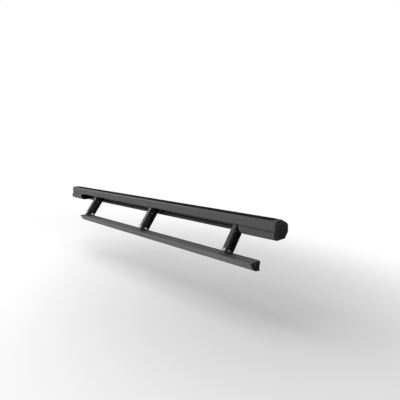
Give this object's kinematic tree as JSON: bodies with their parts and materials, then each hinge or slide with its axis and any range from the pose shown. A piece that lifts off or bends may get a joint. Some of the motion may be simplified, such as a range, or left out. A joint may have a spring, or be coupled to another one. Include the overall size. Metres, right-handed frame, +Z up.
{
  "type": "power running board",
  "caption": "Powered running board: a long hollow board with a tapered step bar that swings out below it on channel arms driven by a hidden gear motor.",
  "frame": {"origin": "centre of the inboard mounting face, at half of the board's length", "axes": "+X to the rear of the vehicle along the board, +Y inboard out of the mounting face, +Z up"},
  "size_m": [2.123, 0.2311, 0.2458],
  "materials": {
    "board_coat": "textured black powder coat",
    "step_coat": "textured black powder coat",
    "arm_coat": "satin black powder coat",
    "cast_bracket": "satin black coat on a casting",
    "gearbox_cast": "black coated casting",
    "motor_case": "gloss black enamel",
    "tread_rubber": "ribbed matt black",
    "strip_rubber": "matt black",
    "cap_plastic": "fine textured black",
    "plug_plastic": "fine textured black",
    "bush_bronze": "oiled bronze",
    "pin_steel": "zinc plated",
    "screw_steel": "black zinc"
  },
  "bodies": {
    "main_board": {"board_extrusion": "board_coat", "board_tread": "tread_rubber", "drive_motor": "motor_case", "front_bracket_bolts": "screw_steel", "front_cap_screws": "screw_steel", "front_end_cap": "cap_plastic", "front_pivot_bracket": "cast_bracket", "front_upper_bushes": "bush_bronze", "gearbox_bolts": "screw_steel", "gearbox_cover": "gearbox_cast", "gearbox_cover_screws": "screw_steel", "gearbox_housing": "gearbox_cast", "lead_gland": "strip_rubber", "middle_bracket_bolts": "screw_steel", "middle_pivot_bracket": "cast_bracket", "middle_upper_bushes": "bush_bronze", "motor_screws": "screw_steel", "rear_cap_screws": "screw_steel", "rear_end_cap": "cap_plastic", "rear_upper_bush": "bush_bronze"},
    "arm_front": {"front_arm": "arm_coat", "front_upper_pins": "pin_steel", "front_lower_pin": "pin_steel", "front_lower_nut": "pin_steel", "front_stop_screw": "screw_steel"},
    "arm_middle": {"middle_arm": "arm_coat", "middle_upper_pins": "pin_steel", "middle_lower_pin": "pin_steel", "middle_lower_nut": "pin_steel", "middle_stop_screw": "screw_steel"},
    "arm_rear": {"rear_arm": "arm_coat", "rear_upper_pin": "pin_steel", "rear_lower_pin": "pin_steel", "rear_lower_nut": "pin_steel", "rear_stop_screw": "screw_steel", "output_shaft": "pin_steel"},
    "step_bar": {"step_extrusion": "step_coat", "step_edge_strip": "strip_rubber", "step_front_plug": "plug_plastic", "step_rear_plug": "plug_plastic", "step_plug_screws": "screw_steel", "lug_bolts": "screw_steel", "front_lug": "cast_bracket", "middle_lug": "cast_bracket", "rear_lug": "cast_bracket", "front_lower_bushes": "bush_bronze", "middle_lower_bushes": "bush_bronze", "rear_lower_bushes": "bush_bronze"}
  },
  "joints": [
    {"name": "arm_rear_swing", "type": "hinge", "parent": "main_board", "child": "arm_rear", "pos_m": [0.815, -0.068, 0.004], "axis": [0, 0.7986, -0.6018], "range_deg": [0, 90]},
    {"name": "arm_middle_swing", "type": "hinge", "parent": "main_board", "child": "arm_middle", "pos_m": [0.085, -0.068, 0.004], "axis": [0, 0.7986, -0.6018], "range_deg": [0, 90]},
    {"name": "arm_front_swing", "type": "hinge", "parent": "main_board", "child": "arm_front", "pos_m": [-0.65, -0.068, 0.004], "axis": [0, 0.7986, -0.6018], "range_deg": [0, 90]},
    {"name": "step_level", "type": "hinge", "parent": "arm_rear", "child": "step_bar", "pos_m": [0.815, -0.17332, -0.13576], "axis": [0, 0.7986, -0.6018], "range_deg": [-90, 0]}
  ],
  "couplings": [
    {"joint": "arm_middle_swing", "follows": "arm_rear_swing", "ratio": 1},
    {"joint": "arm_front_swing", "follows": "arm_rear_swing", "ratio": 1},
    {"joint": "step_level", "follows": "arm_rear_swing", "ratio": -1}
  ]
}
